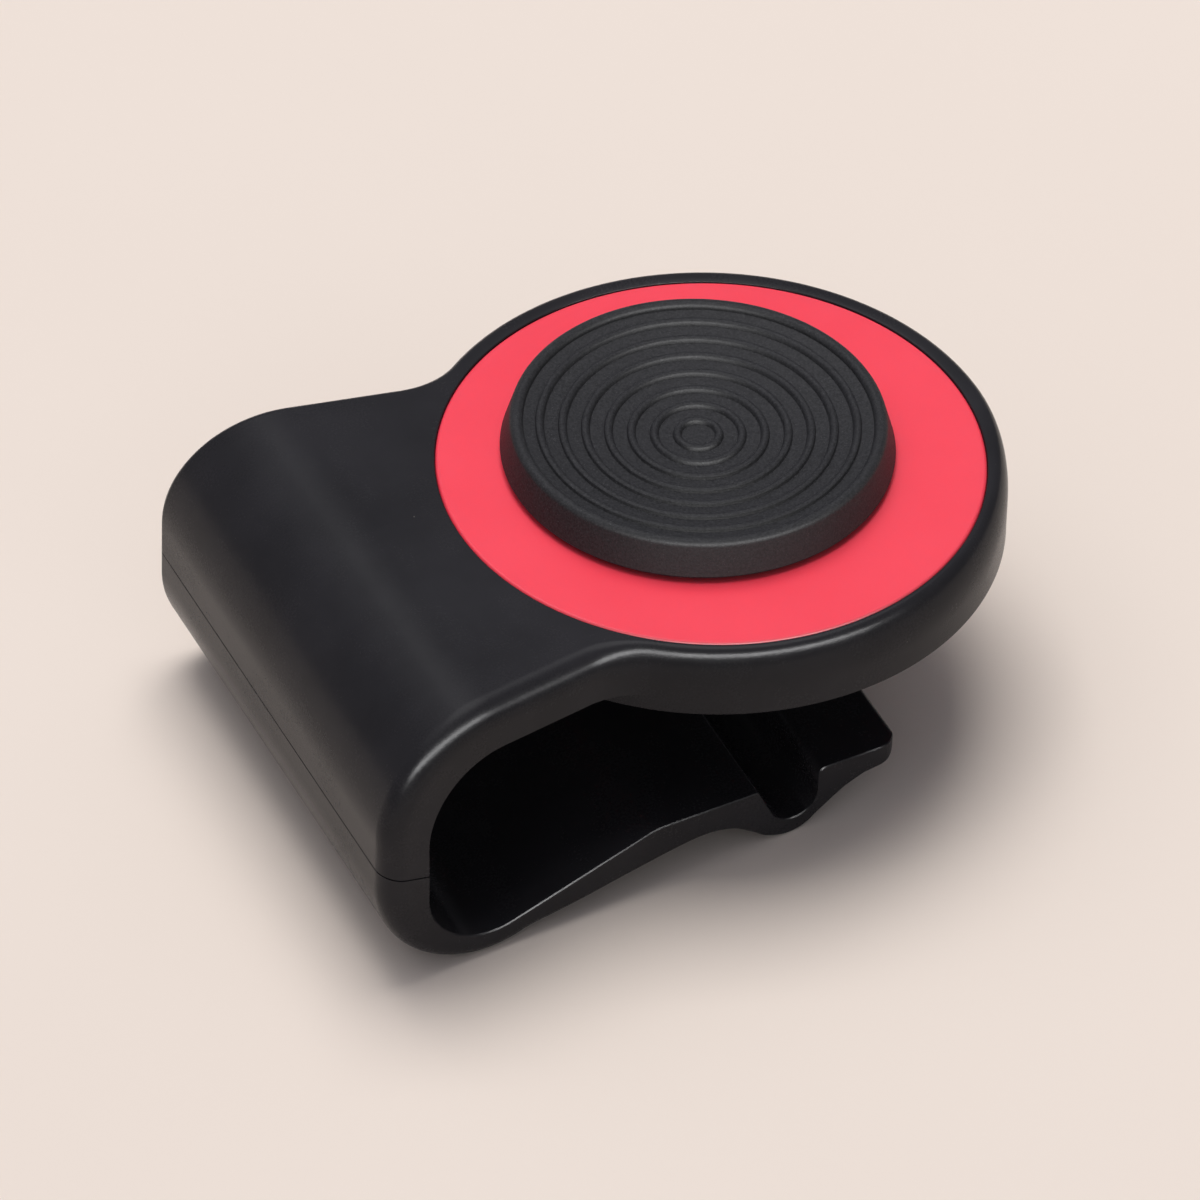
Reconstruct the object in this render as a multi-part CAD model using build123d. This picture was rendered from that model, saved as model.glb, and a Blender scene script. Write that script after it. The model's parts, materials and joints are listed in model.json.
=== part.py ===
from build123d import *
import math
import os

# Clip-on thumb clicker, in millimetres.
# The model is drawn in the clip's own frame: Z = 0 is the flat top of the strap and head,
# the origin is the head's centre, +X runs from the back bend to the toe, +Z is up.
# The last section turns and shifts everything so that the part stands on Z = 0.

# ---- head -------------------------------------------------------------------
HEAD_R = 16.14
HEAD_THICK = 4.1
RING_SEAT_R = 14.98
RING_SEAT_DEPTH = 1.0
SOUND_WELL_R = 13.4
COVER_REBATE_R = 15.25
COVER_THICK = 0.7
COVER_TOP_Z = -HEAD_THICK + COVER_THICK

# ---- strap and C-shaped clip --------------------------------------------------
STRAP_THICK = 3.0
BACK_X = -26.1
WALL = 2.75
BACK_HALF_WIDTH = 14.85
STRAP_TAPER = 0.19
JAW_TAPER = 0.06
NECK_R = 4.6
PLATE_START_X = -15.0
NECK_END_X = -6.0
EDGE_R = 0.45
UPPER_OUTER_R = 6.95
UPPER_INNER_R = 4.85
LOWER_OUTER_R = 6.3
LOWER_OUTER_Z = -10.4
LOWER_INNER_R = 3.85
LOWER_INNER_Z = -11.3
SEAM_OUTER_Z = -9.0
SEAM_INNER_Z = -9.6
SEAM_PAST_WALL = 1.2
SPLIT_Z = -8.0

# ---- jaw arm, bump, groove and toe ----------------------------------------------
RAMP_SLOPE = 0.34
JAW_FLAT_Z = -11.95
ARM_EXIT_ANGLE = 20.0
ARM_UNDER = (
    (-14.2, -15.3),
    (-10.3, -14.38),
    (-6.9, -13.74),
    (-4.9, -13.98),
    (-3.6, -14.72),
    (-2.6, -15.42),
)
BUMP_X = -1.35
BUMP_Z = -13.4
BUMP_R = 2.35
BUMP_END_ANGLE = -45.0
GROOVE_LEFT_X = -3.25
GROOVE_RIGHT_X = 0.45
GROOVE_LIP_R = 0.45
GROOVE_LEFT_FOOT = (-2.45, -13.6)
GROOVE_LOWEST = (-0.95, -14.65)
GROOVE_RIGHT_FOOT = (GROOVE_RIGHT_X, -13.3)
TOE_TOP_Z = -11.77
TOE_X = 5.55
TOE_ROOT = ((2.2, -13.77), (2.75, -13.41), (3.4, -13.27))
TOE_NOSE = ((4.65, -13.12), (5.33, -12.79), (TOE_X, -12.22))
TOE_EDGE_R = 0.3
TOE_CORNER_R = 1.3

# ---- leaf spring inside the back wall ----------------------------------------------
LEAF_THICK = 0.4
LEAF_HALF_WIDTH = 8.0
LEAF_TOP_Z = -6.9
LEAF_BOTTOM_Z = -11.1
LEAF_CORNER_R = 1.0
POCKET_GAP = 0.1

# ---- trim ring -----------------------------------------------------------------
RING_R = 14.95
RING_BORE_R = 6.0
RING_THICK = 1.0
RING_EDGE_R = 0.2
TAPE_THICK = 0.1
TAPE_MARGIN = 0.1

# ---- bottom cover ----------------------------------------------------------------
COVER_R = 15.2
COLLAR_INNER_R = 9.3
COLLAR_OUTER_R = 10.1
COLLAR_GAP = 0.02
RAIL_HALF_LONG = 4.0
RAIL_OVERLAP = 0.3
RAIL_LEDGE = 0.35
LEDGE_OVERLAP = 0.1
WINDOW_INNER_R = 10.4
WINDOW_OUTER_R = 12.8
WINDOW_COUNT = 6
SPOKE_WIDTH = 1.6
SCREW_CIRCLE_R = 14.35
SCREW_COUNT = 4
SCREW_R = 0.5
SCREW_HEAD_R = 0.75
SCREW_HEAD_HIGH = 0.35
SCREW_LONG = 2.2
SLOT_HALF = 0.1
SLOT_DEEP = 0.15

# ---- floating slides ----------------------------------------------------------------
FLOAT = 1.35
REST_X = -0.38
REST_Y = 0.92
SLIDE_GAP = 0.05
FELT_THICK = 0.2
FELT_INNER_R = 6.05
FELT_OUTER_R = 7.0
CROSS_HALF_X = 4.9
CROSS_HALF_Y = 7.0
CROSS_R = 7.9
CROSS_TOP_Z = -1.25
CROSS_THICK = 0.5
HUB_HALF = 3.4
HUB_CORNER_R = 0.6
CARRIER_HALF_X = 4.6
CARRIER_HALF_Y = 5.1
CARRIER_R = 6.2
CARRIER_TOP_Z = -1.8
CARRIER_THICK = 0.6
HUB_TOP_Z = -0.3
SPRING_SEAT_Z = -1.4
SPRING_SEAT_R = 2.8

# ---- thumb pad ----------------------------------------------------------------------
PAD_BASE_R = 10.73
PAD_SHOULDER_R = 10.28
PAD_BASE_Z = 0.3
PAD_RIM_Z = 2.38
PAD_CENTRE_Z = 1.2
PAD_RIM_R = 10.16
PAD_EDGE_R = 0.4
BEAD_OUT = 0.12
BEAD_DROP = 0.08
DISH_R = 9.5
DISH_DROP = 0.2
RIB_COUNT = 7
RIB_FIRST = 0.112
RIB_PITCH = 0.1224
RIB_WIDTH = 0.5
RIB_HIGH = 0.2
CORE_R = 9.4
CORE_THICK = 0.4
STEM_R = 2.0
STEM_GAP = 0.05
BUSH_R = 2.5
WIRE_R = 0.12
COIL_R = 2.415
COIL_TURNS = 3

# ---- snap dome and striker -----------------------------------------------------------
DOME_R = 3.8
DOME_HIGH = 0.42
DOME_THICK = 0.1
RETAINER_R = 5.4
RETAINER_THICK = 0.18
RETAINER_GAP = 0.05
STRIKER_R = 3.0
STRIKER_THICK = 0.4
STRIKER_GAP = 0.05
STEM_SCREW_R = 0.7
STEM_SCREW_LONG = 2.2
STEM_SCREW_HEAD_R = 1.3
STEM_END_Z = CARRIER_TOP_Z - CARRIER_THICK - STRIKER_GAP
STRIKER_BOTTOM_Z = STEM_END_Z - STRIKER_THICK

# ---- cutting solids ---------------------------------------------------------------------
CLEAR = 5.0
CUT_TALL = 30.0
SIDE_MARGIN = 1.0
TOUCH = 0.001


def disc(radius, z_low, z_high):
    """A solid disc about the head's axis between two heights."""
    height = z_high - z_low
    return Pos(0, 0, z_low) * Cylinder(radius, height, align=(Align.CENTER, Align.CENTER, Align.MIN))


def ring(outer, inner, z_low, z_high):
    """A flat ring about the head's axis."""
    return disc(outer, z_low, z_high) - disc(inner, z_low, z_high)


def block(x_low, x_high, y_low, y_high, z_low, z_high):
    """A box given by its faces."""
    centre = ((x_low + x_high) / 2, (y_low + y_high) / 2, (z_low + z_high) / 2)
    return Pos(*centre) * Box(x_high - x_low, y_high - y_low, z_high - z_low)


def side(x, z):
    """A point of the clip's side profile, in the plane Y = 0."""
    return Vector(x, 0, z)


def on_arc(centre_x, centre_z, radius, degrees):
    """A point on an arc of the side profile, at an angle from +X."""
    angle = math.radians(degrees)
    return side(centre_x + radius * math.cos(angle), centre_z + radius * math.sin(angle))


def arc_edge(centre_x, centre_z, radius, start, end):
    """An arc of the side profile between two angles, in degrees."""
    angles = (start, (start + end) / 2, end)
    return ThreePointArc(*[on_arc(centre_x, centre_z, radius, angle) for angle in angles])


def arc_by_points(points):
    """An arc of the side profile through three points (X, Z)."""
    return ThreePointArc(*[side(x, z) for x, z in points])


def clip_profile():
    """The whole C-shaped side profile: strap, bend, arm, bump, groove and toe."""
    upper_x = BACK_X + UPPER_OUTER_R
    lower_x = BACK_X + LOWER_OUTER_R
    inner_x = BACK_X + WALL
    inner_upper_x = inner_x + UPPER_INNER_R
    inner_upper_z = -STRAP_THICK - UPPER_INNER_R
    inner_lower_x = inner_x + LOWER_INNER_R
    ramp = math.degrees(math.atan(RAMP_SLOPE))
    exit_slope = on_arc(0, 0, 1, ARM_EXIT_ANGLE)
    arm_start = on_arc(lower_x, LOWER_OUTER_Z, LOWER_OUTER_R, ARM_EXIT_ANGLE - 90)
    bump_bottom = side(BUMP_X, BUMP_Z - BUMP_R)
    bump_end = on_arc(BUMP_X, BUMP_Z, BUMP_R, BUMP_END_ANGLE)
    toe_edge = (TOE_X - TOE_EDGE_R, TOE_TOP_Z - TOE_EDGE_R)
    lip = (GROOVE_RIGHT_X + GROOVE_LIP_R, TOE_TOP_Z - GROOVE_LIP_R)
    groove_foot = side(*GROOVE_LEFT_FOOT)
    ramp_start = on_arc(inner_lower_x, LOWER_INNER_Z, LOWER_INNER_R, ramp - 90)
    ramp_end_x = ramp_start.X + (JAW_FLAT_Z - ramp_start.Z) / RAMP_SLOPE

    edges = [
        Line(side(-SOUND_WELL_R, 0), side(upper_x, 0)),
        arc_edge(upper_x, -UPPER_OUTER_R, UPPER_OUTER_R, 90, 180),
        Line(side(BACK_X, -UPPER_OUTER_R), side(BACK_X, LOWER_OUTER_Z)),
        arc_edge(lower_x, LOWER_OUTER_Z, LOWER_OUTER_R, 180, 270 + ARM_EXIT_ANGLE),
        Spline(
            arm_start,
            *[side(x, z) for x, z in ARM_UNDER],
            bump_bottom,
            tangents=(exit_slope, side(1, 0)),
        ),
        arc_edge(BUMP_X, BUMP_Z, BUMP_R, -90, BUMP_END_ANGLE),
        Line(bump_end, side(*TOE_ROOT[0])),
        arc_by_points(TOE_ROOT),
        Line(side(*TOE_ROOT[-1]), side(*TOE_NOSE[0])),
        arc_by_points(TOE_NOSE),
        Line(side(*TOE_NOSE[-1]), side(TOE_X, TOE_TOP_Z - TOE_EDGE_R)),
        arc_edge(*toe_edge, TOE_EDGE_R, 0, 90),
        Line(side(TOE_X - TOE_EDGE_R, TOE_TOP_Z), side(GROOVE_RIGHT_X + GROOVE_LIP_R, TOE_TOP_Z)),
        arc_edge(*lip, GROOVE_LIP_R, 90, 180),
        Line(side(GROOVE_RIGHT_X, TOE_TOP_Z - GROOVE_LIP_R), side(*GROOVE_RIGHT_FOOT)),
        arc_by_points((GROOVE_RIGHT_FOOT, GROOVE_LOWEST, GROOVE_LEFT_FOOT)),
        Line(groove_foot, side(GROOVE_LEFT_X, JAW_FLAT_Z)),
        Line(side(GROOVE_LEFT_X, JAW_FLAT_Z), side(ramp_end_x, JAW_FLAT_Z)),
        Line(side(ramp_end_x, JAW_FLAT_Z), ramp_start),
        arc_edge(inner_lower_x, LOWER_INNER_Z, LOWER_INNER_R, ramp - 90, -180),
        Line(side(inner_x, LOWER_INNER_Z), side(inner_x, inner_upper_z)),
        arc_edge(inner_upper_x, inner_upper_z, UPPER_INNER_R, 180, 90),
        Line(side(inner_upper_x, -STRAP_THICK), side(-SOUND_WELL_R, -STRAP_THICK)),
        Line(side(-SOUND_WELL_R, -STRAP_THICK), side(-SOUND_WELL_R, 0)),
    ]
    return make_face(edges)


def clip_band():
    """The side profile run across the full width."""
    return extrude(clip_profile(), amount=BACK_HALF_WIDTH + SIDE_MARGIN, dir=(0, 1, 0), both=True)


def half_width(x, taper):
    return BACK_HALF_WIDTH - taper * (x - BACK_X)


def trapezium(x_high, taper):
    """Plan view of a tapered strip from behind the back wall to x_high."""
    x_low = BACK_X - SIDE_MARGIN
    low = half_width(x_low, taper)
    high = half_width(x_high, taper)
    return make_face(Polyline((x_low, -low), (x_high, -high), (x_high, high), (x_low, low), close=True))


def strap_outline():
    """Plan view of strap and head, with a concave fillet at each side of the neck."""
    outline = trapezium(NECK_END_X, STRAP_TAPER) + Circle(HEAD_R)
    neck = [v for v in outline.vertices() if BACK_X < v.X < 0]
    return fillet(neck, NECK_R)


def jaw_outline():
    """Plan view of the lower jaw, with rounded toe corners."""
    plan = trapezium(TOE_X, JAW_TAPER)
    corners = [v for v in plan.vertices() if v.X > 0]
    return fillet(corners, TOE_CORNER_R)


def above_seam():
    """The half space above the parting plane in the back wall."""
    slope = (SEAM_INNER_Z - SEAM_OUTER_Z) / WALL
    x_low = BACK_X - CLEAR
    x_seam = BACK_X + WALL + SEAM_PAST_WALL
    x_high = HEAD_R + CLEAR
    z_at = [SEAM_OUTER_Z + slope * (x - BACK_X) for x in (x_low, x_seam)]
    wedge = make_face(
        Polyline(
            side(x_low, z_at[0]),
            side(x_seam, z_at[1]),
            side(x_seam, SPLIT_Z),
            side(x_high, SPLIT_Z),
            side(x_high, CLEAR),
            side(x_low, CLEAR),
            close=True,
        )
    )
    return extrude(wedge, amount=CUT_TALL, dir=(0, 1, 0), both=True)


def leaf_block(gap):
    """The leaf spring's box in the middle of the back wall, larger all round by a gap."""
    mid_x = BACK_X + WALL / 2
    reach = LEAF_THICK / 2 + gap
    width = LEAF_HALF_WIDTH + gap
    return block(mid_x - reach, mid_x + reach, -width, width, LEAF_BOTTOM_Z - gap, LEAF_TOP_Z + gap)


def clamp_spring():
    """Flat steel leaf inside the back wall, half in the frame and half in the jaw."""
    leaf = leaf_block(0)
    return fillet(leaf.edges().filter_by(Axis.X), LEAF_CORNER_R)


def screw_places():
    """Where the cover's screws stand, evenly round the head."""
    return PolarLocations(SCREW_CIRCLE_R, SCREW_COUNT, start_angle=180.0 / SCREW_COUNT)


def clip_frame():
    """Strap, upper bend and head ring in one moulding."""
    outline = strap_outline()
    tall = extrude(Pos(0, 0, CLEAR - CUT_TALL) * outline, amount=CUT_TALL)
    strap = clip_band() & tall & above_seam()
    reach = HEAD_R + CLEAR
    plate = extrude(Pos(0, 0, -STRAP_THICK) * outline, amount=STRAP_THICK)
    plate &= block(PLATE_START_X, 0, -reach, reach, -STRAP_THICK - CLEAR, CLEAR)
    body = strap + plate + disc(HEAD_R, -HEAD_THICK, 0)
    at_top = [e for e in body.edges() if abs(e.center().Z) < TOUCH]
    rim = [e for e in at_top if e.center().X > 0 or abs(e.center().Y) > TOUCH]
    body = fillet(rim, EDGE_R)
    body -= disc(RING_SEAT_R, -RING_SEAT_DEPTH, 1)
    body -= disc(SOUND_WELL_R, -HEAD_THICK, 0)
    body -= disc(COVER_REBATE_R, -HEAD_THICK, COVER_TOP_Z)
    for place in screw_places():
        body -= place * disc(SCREW_R, COVER_TOP_Z, COVER_TOP_Z + SCREW_LONG)
    return body - leaf_block(POCKET_GAP)


def clip_jaw():
    """Lower bend, rising arm, bump with its cross groove, and toe."""
    tall = extrude(Pos(0, 0, CLEAR - CUT_TALL) * jaw_outline(), amount=CUT_TALL)
    body = (clip_band() & tall) - above_seam()
    return body - leaf_block(POCKET_GAP)


def trim_ring():
    """Flush coloured ring that closes the head and holds the slides down."""
    body = ring(RING_R, RING_BORE_R, -RING_THICK, 0)
    body -= ring(RING_R, SOUND_WELL_R, -RING_THICK, -RING_THICK + TAPE_THICK)
    rim = [e for e in body.edges() if abs(e.center().Z) < TOUCH and e.radius > SOUND_WELL_R]
    return fillet(rim, RING_EDGE_R)


def ring_tape():
    """Thin adhesive ring that bonds the trim ring to its seat."""
    return ring(RING_R, SOUND_WELL_R + TAPE_MARGIN, -RING_THICK, -RING_THICK + TAPE_THICK)


def bottom_cover():
    """Spoked cover with sound windows, a collar and two rails for the cross slide."""
    body = disc(COVER_R, -HEAD_THICK, COVER_TOP_Z)
    windows = ring(WINDOW_OUTER_R, WINDOW_INNER_R, -HEAD_THICK, COVER_TOP_Z)
    half = SPOKE_WIDTH / 2
    spoke = block(WINDOW_INNER_R - 1, WINDOW_OUTER_R + 1, -half, half, -HEAD_THICK - CLEAR, 0)
    for i in range(WINDOW_COUNT):
        windows -= Rot(0, 0, 360.0 * i / WINDOW_COUNT) * spoke
    body -= windows
    collar_top = -RING_THICK - COLLAR_GAP
    body += ring(COLLAR_OUTER_R, COLLAR_INNER_R, COVER_TOP_Z, collar_top)
    guide_y = CROSS_HALF_Y + SLIDE_GAP
    ledge_z = CROSS_TOP_Z - CROSS_THICK - SLIDE_GAP
    chamber = disc(COLLAR_INNER_R + RAIL_OVERLAP, COVER_TOP_Z, collar_top)
    for sign in (-1, 1):
        low, high = sorted((sign * guide_y, sign * COLLAR_OUTER_R))
        body += block(-RAIL_HALF_LONG, RAIL_HALF_LONG, low, high, COVER_TOP_Z, collar_top) & chamber
        low, high = sorted((sign * (guide_y - RAIL_LEDGE), sign * (guide_y + LEDGE_OVERLAP)))
        body += block(-RAIL_HALF_LONG, RAIL_HALF_LONG, low, high, COVER_TOP_Z, ledge_z)
    for place in screw_places():
        body -= place * disc(SCREW_R, -HEAD_THICK, COVER_TOP_Z)
        body -= place * disc(SCREW_HEAD_R, -HEAD_THICK, -HEAD_THICK + SCREW_HEAD_HIGH)
    return body


def cover_screws():
    """Small pan-head screws that hold the bottom cover, one solid each."""
    under_head = -HEAD_THICK + SCREW_HEAD_HIGH
    slot_top = -HEAD_THICK + SLOT_DEEP
    screw = disc(SCREW_HEAD_R, -HEAD_THICK, under_head)
    screw += disc(SCREW_R, under_head, COVER_TOP_Z + SCREW_LONG)
    screw -= block(-SCREW_HEAD_R, SCREW_HEAD_R, -SLOT_HALF, SLOT_HALF, -HEAD_THICK, slot_top)
    return Compound(children=[place * screw for place in screw_places()])


def snap_dome():
    """Thin sprung steel dome that makes the click."""
    radius = (DOME_R**2 + DOME_HIGH**2) / (2 * DOME_HIGH)
    centre_z = COVER_TOP_Z + DOME_HIGH - radius
    outer = Pos(0, 0, centre_z) * Sphere(radius)
    inner = Pos(0, 0, centre_z) * Sphere(radius - DOME_THICK)
    return (outer - inner) & disc(DOME_R, COVER_TOP_Z, COVER_TOP_Z + CLEAR)


def dome_retainer():
    """Thin ring on the cover that keeps the dome in its place."""
    return ring(RETAINER_R, DOME_R + RETAINER_GAP, COVER_TOP_Z, COVER_TOP_Z + RETAINER_THICK)


def felt_ring():
    """Felt ring that gives the slides their light drag."""
    return ring(FELT_OUTER_R, FELT_INNER_R, -RING_THICK - FELT_THICK, -RING_THICK)


def cross_slide():
    """Plate that floats along X between the rails, with a slot along Y."""
    bottom = CROSS_TOP_Z - CROSS_THICK
    plate = block(-CROSS_HALF_X, CROSS_HALF_X, -CROSS_HALF_Y, CROSS_HALF_Y, bottom, CROSS_TOP_Z)
    plate &= disc(CROSS_R, bottom, CROSS_TOP_Z)
    slot_x = HUB_HALF + SLIDE_GAP
    slot_y = HUB_HALF + FLOAT + SLIDE_GAP
    plate -= block(-slot_x, slot_x, -slot_y, slot_y, bottom, CROSS_TOP_Z)
    return Pos(REST_X, 0, 0) * plate


def pad_carrier():
    """Plate, square hub and round boss that float along Y in the cross slide and guide the stem."""
    bottom = CARRIER_TOP_Z - CARRIER_THICK
    plate = block(-CARRIER_HALF_X, CARRIER_HALF_X, -CARRIER_HALF_Y, CARRIER_HALF_Y, bottom, CARRIER_TOP_Z)
    plate &= disc(CARRIER_R, bottom, CARRIER_TOP_Z)
    hub = block(-HUB_HALF, HUB_HALF, -HUB_HALF, HUB_HALF, bottom, CROSS_TOP_Z)
    hub = fillet(hub.edges().filter_by(Axis.Z), HUB_CORNER_R)
    boss = disc(HUB_HALF, bottom, HUB_TOP_Z)
    body = plate + hub + boss
    body -= disc(BUSH_R, bottom, SPRING_SEAT_Z)
    body -= disc(SPRING_SEAT_R, SPRING_SEAT_Z, HUB_TOP_Z)
    return Pos(REST_X, REST_Y, 0) * body


def stem_bush():
    """Plain bush pressed into the carrier, in which the stem slides."""
    body = ring(BUSH_R, STEM_R + STEM_GAP, CARRIER_TOP_Z - CARRIER_THICK, SPRING_SEAT_Z)
    return Pos(REST_X, REST_Y, 0) * body


def dish_z(radius):
    """Height of the dished top at a radius: a shallow parabolic bowl."""
    depth = PAD_RIM_Z - DISH_DROP - PAD_CENTRE_Z
    return PAD_CENTRE_Z + depth * (radius / PAD_RIM_R) ** 2


def dish_line():
    """The dished top from the centre to the rim, with its raised rings, as a list of edges."""
    edges = []
    last = side(0, PAD_CENTRE_Z)
    for i in range(RIB_COUNT):
        middle = PAD_RIM_R * (RIB_FIRST + RIB_PITCH * i)
        inner = middle - RIB_WIDTH / 2
        outer = middle + RIB_WIDTH / 2
        foot = side(inner, dish_z(inner))
        end = side(outer, dish_z(outer))
        edges.append(Line(last, foot))
        edges.append(ThreePointArc(foot, side(middle, dish_z(middle) + RIB_HIGH), end))
        last = end
    dish_end = side(DISH_R, dish_z(DISH_R))
    edges.append(Line(last, dish_end))
    return edges


def thumb_pad():
    """Soft cap with a tapered skirt and a dished top with raised rings."""
    core_top = PAD_BASE_Z + CORE_THICK
    crown = PAD_SHOULDER_R - PAD_EDGE_R
    shoulder_z = PAD_RIM_Z - PAD_EDGE_R
    bead = (DISH_R + BEAD_OUT, PAD_RIM_Z - BEAD_DROP)
    section = make_face(dish_line() + [
        arc_by_points(((DISH_R, dish_z(DISH_R)), bead, (crown, PAD_RIM_Z))),
        arc_edge(crown, shoulder_z, PAD_EDGE_R, 90, 0),
        Line(side(PAD_SHOULDER_R, shoulder_z), side(PAD_BASE_R, PAD_BASE_Z)),
        Line(side(PAD_BASE_R, PAD_BASE_Z), side(CORE_R, PAD_BASE_Z)),
        Line(side(CORE_R, PAD_BASE_Z), side(CORE_R, core_top)),
        Line(side(CORE_R, core_top), side(0, core_top)),
        Line(side(0, core_top), side(0, PAD_CENTRE_Z)),
    ])
    return Pos(REST_X, REST_Y, 0) * revolve(section, axis=Axis.Z)


def pad_core():
    """Rigid insert under the soft cap, with the guide stem."""
    body = disc(CORE_R, PAD_BASE_Z, PAD_BASE_Z + CORE_THICK)
    body += disc(STEM_R, STEM_END_Z, PAD_BASE_Z)
    body -= disc(STEM_SCREW_R, STEM_END_Z, STEM_END_Z + STEM_SCREW_LONG)
    return Pos(REST_X, REST_Y, 0) * body


def striker_disc():
    """Steel disc under the stem: it presses the dome and keeps the pad in."""
    body = disc(STRIKER_R, STRIKER_BOTTOM_Z, STEM_END_Z)
    body -= disc(STEM_SCREW_R, STRIKER_BOTTOM_Z, STEM_END_Z)
    body -= disc(STEM_SCREW_HEAD_R, STRIKER_BOTTOM_Z, STRIKER_BOTTOM_Z + STRIKER_THICK / 2)
    return Pos(REST_X, REST_Y, 0) * body


def stem_screw():
    """Flat-head screw that fastens the striker disc to the stem."""
    body = disc(STEM_SCREW_HEAD_R, STRIKER_BOTTOM_Z, STRIKER_BOTTOM_Z + STRIKER_THICK / 2)
    body += disc(STEM_SCREW_R, STRIKER_BOTTOM_Z, STEM_END_Z + STEM_SCREW_LONG)
    return Pos(REST_X, REST_Y, 0) * body


def return_spring():
    """Small coil spring around the stem that lifts the pad."""
    low = SPRING_SEAT_Z + WIRE_R
    high = PAD_BASE_Z - WIRE_R
    path = Helix(pitch=(high - low) / COIL_TURNS, height=high - low, radius=COIL_R)
    start = Plane(path @ 0, z_dir=path % 0)
    coil = sweep(start * Circle(WIRE_R), path=path)
    return Pos(REST_X, REST_Y, low) * coil


def rest_tilt():
    """Angle of the line that touches the lower bend and the bump from below, in degrees."""
    across = BUMP_X - (BACK_X + LOWER_OUTER_R)
    up = BUMP_Z - LOWER_OUTER_Z
    slope = math.atan2(up, across)
    return math.degrees(slope - math.asin((BUMP_R - LOWER_OUTER_R) / math.hypot(across, up)))


NODES = {
    "clip_frame": clip_frame,
    "clip_jaw": clip_jaw,
    "clamp_spring": clamp_spring,
    "trim_ring": trim_ring,
    "ring_tape": ring_tape,
    "bottom_cover": bottom_cover,
    "cover_screws": cover_screws,
    "snap_dome": snap_dome,
    "dome_retainer": dome_retainer,
    "felt_ring": felt_ring,
    "cross_slide": cross_slide,
    "pad_carrier": pad_carrier,
    "stem_bush": stem_bush,
    "thumb_pad": thumb_pad,
    "pad_core": pad_core,
    "striker_disc": striker_disc,
    "stem_screw": stem_screw,
    "return_spring": return_spring,
}

solids = {name: make() for name, make in NODES.items()}
tilt = Rot(0, rest_tilt(), 0)
tilted = {name: tilt * solid for name, solid in solids.items()}
whole = Compound(children=list(tilted.values())).bounding_box()
shift = Pos(
    -(whole.min.X + whole.max.X) / 2,
    -(whole.min.Y + whole.max.Y) / 2,
    -whole.min.Z,
)
place = shift * tilt

os.makedirs("parts", exist_ok=True)
for name, solid in solids.items():
    export_step(place * solid, "parts/" + name + ".step")
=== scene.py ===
import json
import math

import bmesh
import bpy
from mathutils import Matrix, Vector


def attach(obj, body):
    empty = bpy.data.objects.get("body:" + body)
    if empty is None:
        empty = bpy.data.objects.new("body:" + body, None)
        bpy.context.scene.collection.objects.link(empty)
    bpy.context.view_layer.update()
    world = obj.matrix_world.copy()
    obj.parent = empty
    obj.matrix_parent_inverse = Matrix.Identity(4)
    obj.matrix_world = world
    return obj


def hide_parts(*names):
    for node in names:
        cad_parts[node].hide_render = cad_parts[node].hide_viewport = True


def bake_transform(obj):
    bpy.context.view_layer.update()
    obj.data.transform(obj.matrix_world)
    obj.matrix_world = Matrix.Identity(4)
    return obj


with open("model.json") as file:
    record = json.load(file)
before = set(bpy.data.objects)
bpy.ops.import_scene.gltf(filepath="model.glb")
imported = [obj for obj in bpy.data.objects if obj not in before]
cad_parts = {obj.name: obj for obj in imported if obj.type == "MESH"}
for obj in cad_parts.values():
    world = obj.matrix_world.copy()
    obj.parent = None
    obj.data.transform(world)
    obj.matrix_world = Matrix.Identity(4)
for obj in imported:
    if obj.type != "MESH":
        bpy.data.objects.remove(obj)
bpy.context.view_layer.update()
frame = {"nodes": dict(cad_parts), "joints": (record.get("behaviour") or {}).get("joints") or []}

# Clip-on thumb clicker. Shapes are drawn in the clip's own frame, in millimetres:
# the origin is the head's centre on the flat top, +X runs to the toe, +Z is up.
# PLACE carries them into the row frame, in metres.

# ---- driving sizes, as in the CAD part -----------------------------------------------
MM = 0.001
HEAD_R = 16.14
HEAD_THICK = 4.1
RING_SEAT_R = 14.98
RING_SEAT_DEPTH = 1.0
SOUND_WELL_R = 13.4
COVER_REBATE_R = 15.25
COVER_TOP_Z = -3.4
STRAP_THICK = 3.0
BACK_X = -26.1
WALL = 2.75
BACK_HALF_WIDTH = 14.85
STRAP_TAPER = 0.19
JAW_TAPER = 0.06
NECK_R = 4.6
UPPER_OUTER_R = 6.95
UPPER_INNER_R = 4.85
LOWER_OUTER_R = 6.3
LOWER_OUTER_Z = -10.4
LOWER_INNER_R = 3.85
LOWER_INNER_Z = -11.3
SEAM_OUTER_Z = -9.0
SEAM_INNER_Z = -9.6
RAMP_SLOPE = 0.34
JAW_FLAT_Z = -11.95
ARM_EXIT_ANGLE = 20.0
ARM_TOP_R = 3.0
ARM_UNDER = ((-14.2, -15.3), (-10.3, -14.38), (-6.9, -13.74), (-4.9, -13.98))
BUMP_LEFT = ((-3.6, -14.72), (-2.6, -15.42))
BUMP_X = -1.35
BUMP_Z = -13.4
BUMP_R = 2.35
BUMP_END_ANGLE = 315
GROOVE_LEFT_X = -3.25
GROOVE_LEFT_R = 0.16
GROOVE_FOOT = (-2.45, -13.6)
GROOVE_LOW_X = -0.95
GROOVE_FLOOR_Z = -14.65
GROOVE_END_Z = -13.3
GROOVE_RIGHT_X = 0.45
GROOVE_RIGHT_R = 0.45
TOE_TOP_Z = -11.77
TOE_TOP_X = 2.0
TOE_X = 5.55
TOE_THICK = 1.5
TOE_CORNER_R = 1.3
TOE_FOOT_X = 2.2
TOE_FOOT_DROP = 0.5
TOE_UNDER_X = 3.4
TOE_END_LONG = 0.9
TOE_END_RISE = 0.15
TOE_ROUND_IN = 0.22
TOE_ROUND_UP = 0.48
RING_R = 14.95
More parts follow.
